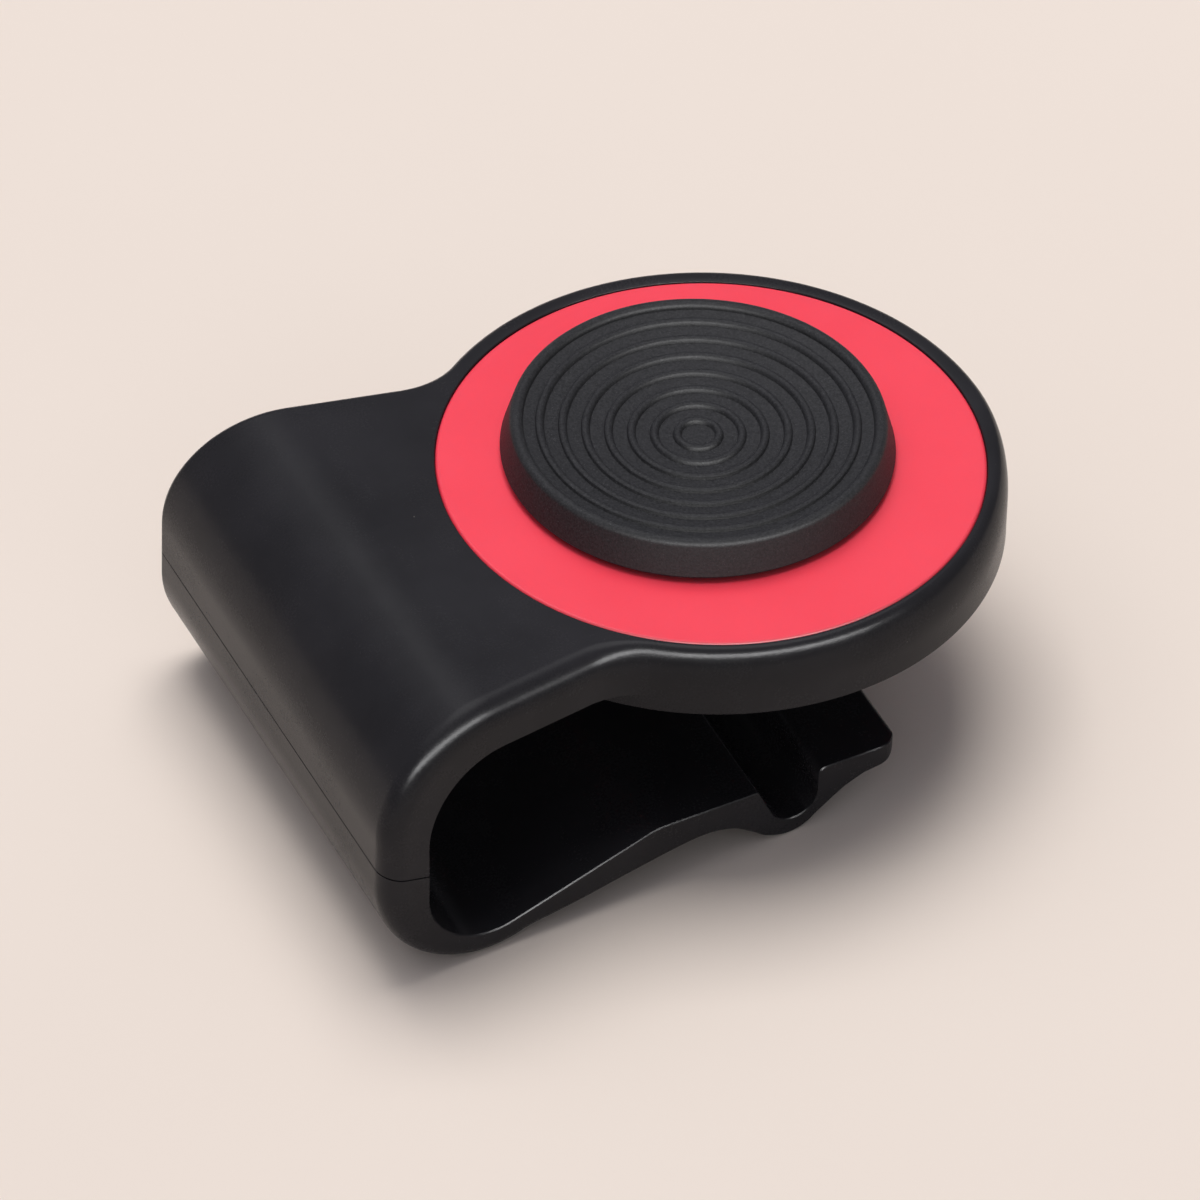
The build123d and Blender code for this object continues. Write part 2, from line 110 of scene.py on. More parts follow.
RING_BORE_R = 6.0
RING_THICK = 1.0
RING_EDGE_R = 0.2
TAPE_THICK = 0.1
PAD_BASE_R = 10.73
PAD_SHOULDER_R = 10.28
PAD_BASE_Z = 0.3
PAD_RIM_Z = 2.38
PAD_CENTRE_Z = 1.2
PAD_RIM_R = 10.16
PAD_EDGE_R = 0.4
BEAD_OUT = 0.12
BEAD_DROP = 0.08
DISH_R = 9.5
DISH_DROP = 0.2
RIB_COUNT = 7
RIB_FIRST = 0.112
RIB_PITCH = 0.1224
RIB_WIDTH = 0.5
CORE_R = 9.4
CORE_THICK = 0.4
REST_X = -0.38
REST_Y = 0.92
LEAF_THICK = 0.4
LEAF_HALF_WIDTH = 8.0
LEAF_CORNER_R = 1.0
LEAF_TOP_Z = -6.9
LEAF_BOTTOM_Z = -11.1

# ---- edges and small details, finer than in the CAD part -----------------------------
# A head edge is the width and depth of its quarter ellipse.
NEAR_EDGE_R = 1.4
FAR_EDGE_R = 0.5
HEAD_NEAR_EDGE = (1.0, 2.4)
HEAD_FAR_EDGE = (0.6, 0.6)
HEAD_EDGE_TURN = 0.85
ARM_EDGE_R = 0.22
ARM_EDGE_START_X = -22.0
ARM_EDGE_END_X = -13.0
INNER_EDGE_R = 0.06
EDGE_SHARE_LIMIT = 0.49
LIP_R = 0.08
CHAMFER = 0.12
SEAM_DEEP = 0.11
SEAM_HALF = 0.045
TAPER_HIGH_Z = -3.0
TAPER_LOW_Z = -11.0
PLATE_X = -18.4
TOE_TIP_DROP = 0.38
TOE_TOP_R = 0.3
TOE_FOOT_R = 1.0
RING_BORE_BEVEL = 0.15
RING_FACE_RADII = (8.0, 10.0, 12.0)
RIB_HIGH = 0.24  # 0.04 more than in CAD, so that the rings show
SHOULDER_END_ANGLE = 12
SKIRT_FOOT_HIGH = 0.12
SKIRT_FOOT_IN = 0.06

# ---- mesh steps and tolerances -------------------------------------------------------
ACROSS = 10
CORNER_STEPS = 10
SMALL_CORNER_STEPS = 1
LIP_STEPS = 3
SIDE_STEPS = 3
WALL_STEPS = 8
BEND_STEPS = 40
UNDER_STEPS = 10
STRAP_STEPS = 6
NECK_STEPS = 18
FRONT_STEPS = 200
BACK_STEPS = 88
RIB_STEPS = 8
LEAF_STEPS = 24
TURN_STEPS = 288
SHARP_ANGLE = math.radians(32)
SAME_POINT = 0.001
NO_LENGTH = 0.0005

# ---- place of the clip's own frame, from the joints ----------------------------------
joints = {joint["name"]: joint for joint in frame["joints"]}
along = Vector(joints["pad_shift_x"]["axis"])
up = -Vector(joints["pad_press"]["axis"])
across = up.cross(along)
hinge = Vector(joints["jaw_opening"]["pos_m"])
origin = hinge - MM * (BACK_X * along + SEAM_OUTER_Z * up)
turn = Matrix((along, across, up)).transposed().to_4x4()
PLACE = Matrix.Translation(origin) @ turn @ Matrix.Scale(MM, 4)
PAD_PLACE = PLACE @ Matrix.Translation((REST_X, REST_Y, 0))


# ---- lines ---------------------------------------------------------------------------
def blend_factor(value, low, high):
    """0 at low, 1 at high, eased in between."""
    t = min(1.0, max(0.0, (value - low) / (high - low)))
    return t * t * (3 - 2 * t)


def spoke(degrees):
    """Unit vector at an angle."""
    a = math.radians(degrees)
    return Vector((math.cos(a), math.sin(a)))


def between(start, end):
    """Points strictly between two points, at even distances."""
    a, b = Vector(start), Vector(end)
    return [tuple(a.lerp(b, i / ACROSS)) for i in range(1, ACROSS)]


def arc(centre, radius, start, end, steps):
    """Points on an arc between two angles in degrees, both ends included."""
    angles = [math.radians(start + (end - start) * i / steps) for i in range(steps + 1)]
    return [(centre[0] + radius * math.cos(a), centre[1] + radius * math.sin(a)) for a in angles]


def circle_through(a, b, c):
    """Centre, radius and the two angles, in degrees, of the arc from a through b to c."""
    p, q, r = Vector(a), Vector(b), Vector(c)
    u, v = q - p, r - p
    cross = 2 * (u.x * v.y - u.y * v.x)
    cx = (v.y * u.length_squared - u.y * v.length_squared) / cross
    cy = (u.x * v.length_squared - v.x * u.length_squared) / cross
    centre = p + Vector((cx, cy))
    rays = [w - centre for w in (p, q, r)]
    start, middle, end = (math.degrees(math.atan2(ray.y, ray.x)) for ray in rays)
    rising = (middle - start) % 360 < (end - start) % 360
    end = start + (end - start) % 360 if rising else start - (start - end) % 360
    return tuple(centre), (p - centre).length, start, end


def arc_through(a, b, c, steps=16):
    """Points on the arc from a through b to c."""
    return arc(*circle_through(a, b, c), steps)


def rounded(points, radius, steps=6):
    """A polyline whose inner corners are rounded with tangent arcs of one radius."""
    made = [points[0]]
    for before, corner, after in zip(points, points[1:], points[2:]):
        at = Vector(corner)
        back = (Vector(before) - at).normalized()
        ahead = (Vector(after) - at).normalized()
        half = back.angle(ahead) / 2
        reach = radius / math.tan(half)
        centre = at + (back + ahead).normalized() * radius / math.sin(half)
        first = at + back * reach - centre
        last = at + ahead * reach - centre
        swing = first.angle_signed(last)
        for i in range(steps + 1):
            made.append(tuple(centre + Matrix.Rotation(-swing * i / steps, 2) @ first))
    return made + [points[-1]]


def smooth_curve(points, first_slope, last_slope, steps):
    """A cubic through the points, with a given direction at each end."""
    knots = [Vector(p) for p in points]
    slopes = [(after - before) / 2 for before, after in zip(knots, knots[2:])]
    slopes.insert(0, Vector(first_slope) * (knots[1] - knots[0]).length)
    slopes.append(Vector(last_slope) * (knots[-1] - knots[-2]).length)
    made = []
    for a, b, m, n in zip(knots, knots[1:], slopes, slopes[1:]):
        for i in range(steps):
            t = i / steps
            spot = a * (2 * t**3 - 3 * t**2 + 1) + m * (t**3 - 2 * t**2 + t)
            spot += b * (3 * t**2 - 2 * t**3) + n * (t**3 - t**2)
            made.append(tuple(spot))
    return made + [tuple(knots[-1])]


def spread(points, count):
    """The same line as count + 1 points at even distances along it."""
    line = [Vector(p) for p in points]
    lengths = [0.0]
    for a, b in zip(line, line[1:]):
        lengths.append(lengths[-1] + (b - a).length)
    made = []
    at = 0
    for i in range(count + 1):
        target = lengths[-1] * i / count
        while at < len(line) - 2 and lengths[at + 1] < target:
            at += 1
        piece = lengths[at + 1] - lengths[at]
        share = (target - lengths[at]) / piece if piece else 0.0
        made.append(tuple(line[at].lerp(line[at + 1], min(1.0, share))))
    return made


def circle_points(radius, angles, z):
    """Points on a level circle at the given angles in degrees."""
    turned = [math.radians(degrees) for degrees in angles]
    return [(radius * math.cos(a), radius * math.sin(a), z) for a in turned]


def full_turn():
    """Angles in degrees once round, both ends included."""
    return [360.0 * i / TURN_STEPS for i in range(TURN_STEPS + 1)]


# ---- meshes --------------------------------------------------------------------------
def skin(bm, rows):
    """Quads between neighbouring rows of points, all of one length."""
    lines = [[bm.verts.new(point) for point in row] for row in rows]
    for low, high in zip(lines, lines[1:]):
        for a, b, c, d in zip(low, low[1:], high[1:], high):
            bm.faces.new((a, b, c, d))


def cap(bm, points):
    """One flat face through a closed line of points."""
    bm.faces.new([bm.verts.new(point) for point in points])


def revolve(bm, profile, angles):
    """The profile's points (radius, height) carried through the angles, in degrees."""
    rows = []
    for degrees in angles:
        a = math.radians(degrees)
        rows.append([(r * math.cos(a), r * math.sin(a), z) for r, z in profile])
    skin(bm, rows)


def new_piece(name, bm, place, material, nodes, body=None):
    """Turns a mesh drawn in millimetres into a shaded object that stands for CAD nodes."""
    bmesh.ops.remove_doubles(bm, verts=bm.verts, dist=SAME_POINT)
    bmesh.ops.dissolve_degenerate(bm, edges=bm.edges, dist=NO_LENGTH)
    bmesh.ops.recalc_face_normals(bm, faces=bm.faces)
    for face in bm.faces:
        face.smooth = True
    for edge in bm.edges:
        edge.smooth = not edge.is_manifold or edge.calc_face_angle() < SHARP_ANGLE
    mesh = bpy.data.meshes.new(name)
    bmesh.ops.transform(bm, matrix=place, verts=bm.verts)
    bm.to_mesh(mesh)
    bm.free()
    mesh.materials.append(material)
    obj = bpy.data.objects.new(name, mesh)
    bpy.context.scene.collection.objects.link(obj)
    weighted = obj.modifiers.new("weighted_normals", "WEIGHTED_NORMAL")
    weighted.keep_sharp = True
    if body:
        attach(obj, body)
    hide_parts(*nodes)
    return obj


# ---- materials -----------------------------------------------------------------------
class Shader:
    """A node material around one Principled shader. Sizes are in millimetres."""

    def __init__(self, name, **values):
        self.material = bpy.data.materials.new(name)
        self.material.use_nodes = True
        self.tree = self.material.node_tree
        self.main = self.tree.nodes["Principled BSDF"]
        self.place = self.add("ShaderNodeTexCoord").outputs["Object"]
        for socket, value in values.items():
            self.main.inputs[socket.replace("_", " ")].default_value = value

    def add(self, kind, **settings):
        node = self.tree.nodes.new(kind)
        for key, value in settings.items():
            setattr(node, key, value)
        return node

    def link(self, out, into):
        self.tree.links.new(out, into)

    def noise(self, size_mm, detail=2.0, rough=0.5, stretch=(1, 1, 1)):
        """Noise whose grain is about size_mm across."""
        mapping = self.add("ShaderNodeMapping")
        mapping.inputs["Scale"].default_value = [s / (size_mm * MM) for s in stretch]
        self.link(self.place, mapping.inputs["Vector"])
        node = self.add("ShaderNodeTexNoise")
        node.inputs["Scale"].default_value = 1.0
        node.inputs["Detail"].default_value = detail
        node.inputs["Roughness"].default_value = rough
        self.link(mapping.outputs["Vector"], node.inputs["Vector"])
        return node.outputs["Fac"]

    def cells(self, size_mm):
        """Distance to the nearest of many scattered points about size_mm apart."""
        node = self.add("ShaderNodeTexVoronoi")
        node.inputs["Scale"].default_value = 1.0 / (size_mm * MM)
        self.link(self.place, node.inputs["Vector"])
        return node.outputs["Distance"]

    def fit(self, value, low, high, out_low=0.0, out_high=1.0):
        """Maps a value from one range to another."""
        node = self.add("ShaderNodeMapRange")
        ends = {"From Min": low, "From Max": high, "To Min": out_low, "To Max": out_high}
        for socket, number in ends.items():
            node.inputs[socket].default_value = number
        self.link(value, node.inputs["Value"])
        return node.outputs["Result"]

    def math(self, operation, a, b):
        node = self.add("ShaderNodeMath", operation=operation)
        for socket, value in zip(node.inputs, (a, b)):
            self.link(value, socket)
        return node.outputs["Value"]

    def mix(self, factor, first, second):
        """A colour between two colours, each a tuple or another node's output."""
        node = self.add("ShaderNodeMix", data_type="RGBA")
        colours = [s for s in node.inputs if s.type == "RGBA"]
        self.link(factor, node.inputs["Factor"])
        for socket, value in zip(colours, (first, second)):
            if isinstance(value, tuple):
                socket.default_value = (*value, 1.0)
            else:
                self.link(value, socket)
        return [s for s in node.outputs if s.type == "RGBA"][0]

    def colour(self, out):
        self.link(out, self.main.inputs["Base Color"])

    def roughness(self, out):
        self.link(out, self.main.inputs["Roughness"])

    def bump(self, height, distance_mm):
        """Bumps the surface by a height of 0 to 1, times a distance."""
        node = self.add("ShaderNodeBump")
        node.inputs["Strength"].default_value = 1.0
        node.inputs["Distance"].default_value = distance_mm * MM
        self.link(height, node.inputs["Height"])
        self.link(node.outputs["Normal"], self.main.inputs["Normal"])


def scaled(colour, factor):
    return tuple(factor * c for c in colour)


def moulded_black(name, base, rough, grain_mm, grain_deep_mm, specks=False):
    """Matte black moulded plastic: a fine spark-eroded grain with faint handling marks."""
    shader = Shader(name, Specular_IOR_Level=0.12, IOR=1.49)
    cloud = shader.noise(6.0, detail=3.0)
    tone = shader.mix(shader.fit(cloud, 0.35, 0.65), scaled(base, 0.86), scaled(base, 1.14))
    if specks:
        dust = shader.fit(shader.cells(1.1), 0.02, 0.035, 1, 0)
        sparse = shader.fit(shader.noise(4.0), 0.62, 0.66)
        tone = shader.mix(shader.math("MULTIPLY", dust, sparse), tone, DUST)
    shader.colour(tone)
    grain = shader.noise(grain_mm, detail=3.0, rough=0.6)
    smudge = shader.noise(3.2, detail=4.0, rough=0.55, stretch=(1, 0.6, 1))
    worn = shader.fit(smudge, 0.4, 0.7, rough - 0.02, rough + 0.05)
    shader.roughness(shader.math("ADD", worn, shader.fit(grain, 0.3, 0.7, -0.03, 0.03)))
    shader.bump(grain, grain_deep_mm)
    return shader.material


def red_trim():
    """Satin red plastic, slightly translucent, with a very fine texture."""
    shader = Shader("red_trim", Specular_IOR_Level=0.45, IOR=1.49, Subsurface_Weight=0.25)
    shader.main.inputs["Subsurface Radius"].default_value = (0.9, 0.12, 0.12)
    shader.main.inputs["Subsurface Scale"].default_value = MM
    cloud = shader.noise(5.0, detail=2.0)
    shader.colour(shader.mix(shader.fit(cloud, 0.3, 0.7), RED_DEEP, RED_LIGHT))
    grain = shader.noise(0.12, detail=2.0)
    shader.roughness(shader.fit(grain, 0.3, 0.7, 0.38, 0.46))
    shader.bump(grain, 0.004)
    return shader.material


def pad_rubber():
    """Soft black rubber with a fine grain; tiny light spots are painted into its colour as
    glints, so it sparkles a little.
    """
    shader = Shader("pad_rubber", Specular_IOR_Level=0.19, IOR=1.5)
    crumb = shader.noise(0.13, detail=2.0, rough=0.6)
    tone = shader.mix(shader.fit(crumb, 0.35, 0.68), RUBBER_DARK, RUBBER_LIGHT)
    # painted highlight: scattered light spots mixed into the base colour stand in for the
    # rubber's glints
    painted_glint = shader.fit(shader.cells(0.16), 0.05, 0.12, 1, 0)
    shader.colour(shader.mix(painted_glint, tone, RUBBER_PAINTED_GLINT))
    grain = shader.noise(0.1, detail=3.0, rough=0.65)
    shader.roughness(shader.fit(grain, 0.3, 0.7, 0.46, 0.56))
    shader.bump(grain, 0.015)
    return shader.material


def metal(name, base, rough, brushed_mm, stretch):
    """Plated or spring metal with a directional brushed finish."""
    shader = Shader(name, Metallic=1.0)
    streak = shader.noise(brushed_mm, detail=4.0, stretch=stretch)
    shader.colour(shader.mix(shader.fit(streak, 0.3, 0.7), scaled(base, 0.85), base))
    shader.roughness(shader.fit(streak, 0.3, 0.7, rough - 0.06, rough + 0.08))
    shader.bump(streak, 0.003)
    return shader.material


def plain_moulded(name, base, rough):
    """Light moulded plastic with flow marks and a faint grain."""
    shader = Shader(name, IOR=1.5, Subsurface_Weight=0.1)
    shader.main.inputs["Subsurface Scale"].default_value = MM
    flow = shader.noise(3.0, detail=3.0, stretch=(1, 0.4, 1))
    shader.colour(shader.mix(shader.fit(flow, 0.35, 0.65), scaled(base, 0.93), base))
    grain = shader.noise(0.15, detail=2.0)
    shader.roughness(shader.fit(grain, 0.3, 0.7, rough - 0.05, rough + 0.05))
    shader.bump(grain, 0.004)
    return shader.material


def felt():
    """Dense dark felt: crossed fibres at two scales."""
    shader = Shader("felt_grey", Roughness=0.95, Specular_IOR_Level=0.2, Sheen_Weight=0.4)
    fibre = shader.noise(0.12, detail=5.0, rough=0.7, stretch=(1, 0.3, 1))
    shader.colour(shader.mix(shader.fit(fibre, 0.3, 0.7), FELT_DARK, FELT_LIGHT))
    shader.bump(fibre, 0.03)
    return shader.material


# ---- sections of the clip ------------------------------------------------------------
def half_width(x, z):
    """Half the clip's width at a point of its side profile."""
    strap_share = blend_factor(z, TAPER_LOW_Z, TAPER_HIGH_Z)
    taper = JAW_TAPER + (STRAP_TAPER - JAW_TAPER) * strap_share
    width = BACK_HALF_WIDTH - taper * (x - BACK_X)
    into_corner = x - (TOE_X - TOE_CORNER_R)
    if z < TAPER_HIGH_Z and into_corner > 0:
        left = max(0.0, TOE_CORNER_R**2 - into_corner**2)
        width -= TOE_CORNER_R - math.sqrt(left)
    return width


def side_line(outer, inner, outer_r, inner_r, inset):
    """Points from the outer to the inner profile over one side of the clip, at positive Y."""
    depth = (inner - outer).length
    inward = (inner - outer) / depth if depth else Vector((0, 0))
    outer_r = min(outer_r, EDGE_SHARE_LIMIT * depth)
    inner_r = min(inner_r, EDGE_SHARE_LIMIT * depth)
    path = []
    for i in range(CORNER_STEPS + 1):
        angle = math.pi / 2 * i / CORNER_STEPS
        path.append((outer_r * (1 - math.cos(angle)), outer_r * (1 - math.sin(angle))))
    for i in range(1, SIDE_STEPS):
        path.append((outer_r + (depth - outer_r - inner_r) * i / SIDE_STEPS, 0.0))
    for i in range(SMALL_CORNER_STEPS + 1):
        angle = math.pi / 2 * i / SMALL_CORNER_STEPS
        path.append((depth - inner_r * (1 - math.sin(angle)), inner_r * (1 - math.cos(angle))))
    line = []
    for deep, narrower in path:
        spot = outer + inward * deep
        line.append((spot.x, half_width(spot.x, spot.y) - narrower - inset, spot.y))
    return line


def section(outer, inner, near_r, far_r, inset=0.0):
    """One closed section of the clip's wall: a rounded rectangle across the clip."""
    a, b = Vector(outer), Vector(inner)
    step = (b - a).normalized() * inset
    far = side_line(a + step, b - step, far_r, INNER_EDGE_R, inset)
    near = side_line(a + step, b - step, near_r, INNER_EDGE_R, inset)
    near = [(x, -y, z) for x, y, z in reversed(near)]
    outer_face = between(near[-1], far[0])
    inner_face = between(far[-1], near[0])
    return outer_face + far + inner_face + near + [outer_face[0]]


def seam_section(pair, shift_z):
    """The end section on the seam's plane, set in a little so that a fine groove shows."""
    (outer_x, outer_z), (inner_x, inner_z) = pair
    outer = (outer_x, outer_z + shift_z)
    inner = (inner_x, inner_z + shift_z)
    return section(outer, inner, NEAR_EDGE_R, FAR_EDGE_R, SEAM_DEEP)


def upper_stations():
    """Pairs of outer and inner profile points from the seam up to the flat strap."""
    upper_x = BACK_X + UPPER_OUTER_R
    inner_x = BACK_X + WALL
    inner_upper_x = inner_x + UPPER_INNER_R
    inner_upper_z = -STRAP_THICK - UPPER_INNER_R
    outer_wall = [(BACK_X, SEAM_OUTER_Z + SEAM_HALF), (BACK_X, -UPPER_OUTER_R)]
    inner_wall = [(inner_x, SEAM_INNER_Z + SEAM_HALF), (inner_x, inner_upper_z)]
    outer = spread(outer_wall, WALL_STEPS)
    inner = spread(inner_wall, WALL_STEPS)
    outer += arc((upper_x, -UPPER_OUTER_R), UPPER_OUTER_R, 180, 90, BEND_STEPS)[1:]
    inner += arc((inner_upper_x, inner_upper_z), UPPER_INNER_R, 180, 90, BEND_STEPS)[1:]
    outer.append((PLATE_X, 0.0))
    inner.append((PLATE_X, -STRAP_THICK))
    return list(zip(outer, inner))


def lower_stations():
    """Pairs of outer and inner profile points from the seam to the tip of the toe."""
    # lower bend
    lower_x = BACK_X + LOWER_OUTER_R
    inner_x = BACK_X + WALL
    inner_lower_x = inner_x + LOWER_INNER_R
    ramp = math.degrees(math.atan(RAMP_SLOPE))
    arm_exit = 270 + ARM_EXIT_ANGLE
    outer_arc = arc((lower_x, LOWER_OUTER_Z), LOWER_OUTER_R, 180, arm_exit, BEND_STEPS)
    inner_arc = arc((inner_lower_x, LOWER_INNER_Z), LOWER_INNER_R, 180, 270 + ramp, BEND_STEPS)

    # underside of the arm, and the bump
    bump_bottom = (BUMP_X, BUMP_Z - BUMP_R)
    knots = [outer_arc[-1], *ARM_UNDER, *BUMP_LEFT, bump_bottom]
    under = smooth_curve(knots, spoke(ARM_EXIT_ANGLE), (1, 0), UNDER_STEPS)
    arm_end = len(ARM_UNDER) * UNDER_STEPS
    left_end = arm_end + len(BUMP_LEFT) * UNDER_STEPS
    arm_under, bump_left = under[:arm_end + 1], under[arm_end:left_end + 1]
    bump_arc = arc((BUMP_X, BUMP_Z), BUMP_R, 270, BUMP_END_ANGLE, 8)
    bump_under = under[left_end:] + bump_arc[1:]

    # top of the arm, and the cross groove
    ramp_start = inner_arc[-1]
    ramp_end = (ramp_start[0] + (JAW_FLAT_Z - ramp_start[1]) / RAMP_SLOPE, JAW_FLAT_Z)
    edge = rounded([ramp_end, (GROOVE_LEFT_X, JAW_FLAT_Z), GROOVE_FOOT], GROOVE_LEFT_R)
    arm_top = rounded([ramp_start, ramp_end, edge[1]], ARM_TOP_R, 10)
    groove_end = (GROOVE_RIGHT_X, GROOVE_END_Z)
    groove_floor = arc_through(GROOVE_FOOT, (GROOVE_LOW_X, GROOVE_FLOOR_Z), groove_end, 24)
    groove_side = [groove_end, (GROOVE_RIGHT_X, TOE_TOP_Z), (TOE_TOP_X, TOE_TOP_Z)]
    top_edge = rounded(groove_side, GROOVE_RIGHT_R)

    # toe
    toe_under_z = TOE_TOP_Z - TOE_THICK
    end_start_x = TOE_X - TOE_END_LONG
    tip = (TOE_X, TOE_TOP_Z - TOE_TIP_DROP)
    toe_under = [(TOE_UNDER_X, toe_under_z), (end_start_x, toe_under_z + TOE_END_RISE)]
    foot_corner = (TOE_FOOT_X, toe_under_z - TOE_FOOT_DROP)
    toe_foot = rounded([bump_arc[-1], foot_corner, toe_under[0]], TOE_FOOT_R)
    round_middle = (TOE_X - TOE_ROUND_IN, toe_under_z + TOE_ROUND_UP)
    toe_end_under = arc_through(toe_under[1], round_middle, tip)
    toe_end_top = rounded([(end_start_x, TOE_TOP_Z), (TOE_X, TOE_TOP_Z), tip], TOE_TOP_R)

    # outer line, inner line, steps
    spans = [
        ([(BACK_X, SEAM_OUTER_Z - SEAM_HALF), outer_arc[0]],
         [(inner_x, SEAM_INNER_Z - SEAM_HALF), inner_arc[0]], 6),
        (outer_arc, inner_arc, BEND_STEPS),
        (arm_under, arm_top, 40),
        (bump_left, edge[1:], 22),
        (bump_under, groove_floor, 26),
        (toe_foot, top_edge, 20),
        (toe_under, [top_edge[-1], toe_end_top[0]], 8),
        (toe_end_under, toe_end_top, 14),
    ]
    stations = []
    for outer, inner, count in spans:
        pairs = list(zip(spread(outer, count), spread(inner, count)))
        stations += pairs if not stations else pairs[1:]
    return stations


# ---- strap plate and head ------------------------------------------------------------
def neck_fillet():
    """Centre of the concave fillet at the neck, and the ends of its arc as angles in degrees."""
    slope = math.hypot(1, STRAP_TAPER)
    start_y = BACK_HALF_WIDTH + STRAP_TAPER * BACK_X
    shift_x = NECK_R * STRAP_TAPER / slope
    shift_y = start_y + NECK_R / slope
    reach = HEAD_R + NECK_R
    # x, where the straight edge ends: a x^2 + b x + c = 0
    a = 1 + STRAP_TAPER**2
    b = 2 * (shift_x - STRAP_TAPER * shift_y)
    c = shift_x**2 + shift_y**2 - reach**2
    x = (-b - math.sqrt(b * b - 4 * a * c)) / (2 * a)
    centre = Vector((x + shift_x, shift_y - STRAP_TAPER * x))
    on_line = Vector((x, start_y - STRAP_TAPER * x)) - centre
    start = math.degrees(math.atan2(on_line.y, on_line.x))
    end = math.degrees(math.atan2(-centre.y, -centre.x))
    return centre, start, end


def head_edge(angle):
    """Width and depth of the head's rounded rim at an angle: softer on the near side."""
    share = blend_factor(-math.sin(math.radians(angle)), 0.0, HEAD_EDGE_TURN)
    return [far + (near - far) * share for near, far in zip(HEAD_NEAR_EDGE, HEAD_FAR_EDGE)]


def rim_column(spot, outward, top_edge, bottom_r):
    """Points down the edge of the strap plate: rounded rim, wall and small lower edge."""
    wide, deep = top_edge
    wall = STRAP_THICK - deep - bottom_r
    foot = bottom_r - STRAP_THICK
    path = []
    for i in range(CORNER_STEPS + 1):
        angle = math.pi / 2 * i / CORNER_STEPS
        path.append((wide * (1 - math.sin(angle)), -deep * (1 - math.cos(angle))))
    for i in range(1, SIDE_STEPS):
        path.append((0.0, -deep - wall * i / SIDE_STEPS))
    for i in range(SMALL_CORNER_STEPS + 1):
        angle = math.pi / 2 * i / SMALL_CORNER_STEPS
        path.append((bottom_r * (1 - math.cos(angle)), foot - bottom_r * math.sin(angle)))
    return [(*(spot - outward * inset), z) for inset, z in path]


def side_columns(edge_r, head_rim):
    """Columns along one edge of the strap, at positive Y, from the bend to the head."""
    centre, start, end = neck_fillet()
    line_start = Vector((PLATE_X, half_width(PLATE_X, 0.0)))
    line_end = centre + NECK_R * spoke(start)
    straight = Vector((STRAP_TAPER, 1)).normalized()
    columns = [rim_column(line_start, Vector((0, 1)), (edge_r, edge_r), INNER_EDGE_R)]
    for i in range(1, STRAP_STEPS + 1):
        spot = line_start.lerp(line_end, i / STRAP_STEPS)
        columns.append(rim_column(spot, straight, (edge_r, edge_r), INNER_EDGE_R))
    swing = (end - start + 180) % 360 - 180
    for i in range(1, NECK_STEPS + 1):
        inward = spoke(start + swing * i / NECK_STEPS)
        share = blend_factor(i, 0, NECK_STEPS)
        top_edge = [edge_r + (size - edge_r) * share for size in head_rim]
        bottom_r = INNER_EDGE_R * (1 - i / NECK_STEPS)
        columns.append(rim_column(centre + NECK_R * inward, -inward, top_edge, bottom_r))
    return columns


def head_angles():
    """Angles of the head's free front rim and of its back, where the strap joins it."""
    centre, _, _ = neck_fillet()
    join = math.degrees(math.atan2(centre.y, centre.x))
    front = [-join + 2 * join * i / FRONT_STEPS for i in range(FRONT_STEPS + 1)]
    back = [join + (360 - 2 * join) * i / BACK_STEPS for i in range(BACK_STEPS + 1)]
    return front, back


def head(bm):
    """The head ring: free rim in front, seat and cavity all round."""
    front, back = head_angles()
    rows = []
    for angle, seat in zip(front, circle_points(RING_SEAT_R + LIP_R, front, 0.0)):
        outward = spoke(angle)
        rows.append([seat] + rim_column(HEAD_R * outward, outward, head_edge(angle), 0.0))
    skin(bm, rows)
    lip = arc((RING_SEAT_R + LIP_R, -LIP_R), LIP_R, 180, 90, LIP_STEPS)
    inside = [
        (HEAD_R, -STRAP_THICK),
        (HEAD_R, -HEAD_THICK + CHAMFER),
        (HEAD_R - CHAMFER, -HEAD_THICK),
        (COVER_REBATE_R, -HEAD_THICK),
        (COVER_REBATE_R, COVER_TOP_Z),
        (SOUND_WELL_R, COVER_TOP_Z),
        (SOUND_WELL_R, -RING_SEAT_DEPTH),
        (RING_SEAT_R, -RING_SEAT_DEPTH),
    ] + lip
    revolve(bm, inside, front)
    revolve(bm, inside, back)


def plate(bm):
    """The strap's flat part: rounded edges, top face and underside."""
    front, back = head_angles()
    far = side_columns(FAR_EDGE_R, head_edge(front[-1]))
    near = side_columns(NEAR_EDGE_R, head_edge(front[0]))
    near = [[(x, -y, z) for x, y, z in column] for column in near]
    skin(bm, far)
    skin(bm, near)

    # underneath, the last columns end on the head's circle, so those points aren't repeated
    top_face = (0, RING_SEAT_R + LIP_R, 0.0, 0)
    underside = (-1, HEAD_R, -STRAP_THICK, 1)
    for row, radius, z, shared in (top_face, underside):
        far_edge = [column[row] for column in far]
        near_edge = [column[row] for column in reversed(near)]
        line = between(near_edge[-1], far_edge[0]) + far_edge
        line += circle_points(radius, back, z)[shared:] + near_edge[shared:]
        cap(bm, line)


# ---- the clip's two mouldings --------------------------------------------------------
def clip_upper(material):
    """Strap, upper bend and head: one moulding, from the seam to the head's free rim."""
    bm = bmesh.new()
    pairs = upper_stations()
    first = seam_section(pairs[0], -SEAM_HALF)
    rows = [first] + [section(o, i, NEAR_EDGE_R, FAR_EDGE_R) for o, i in pairs]
    skin(bm, rows)
    cap(bm, first[:-1])
    plate(bm)
    head(bm)
    return new_piece("clip_upper", bm, PLACE, material, ["clip_frame"])


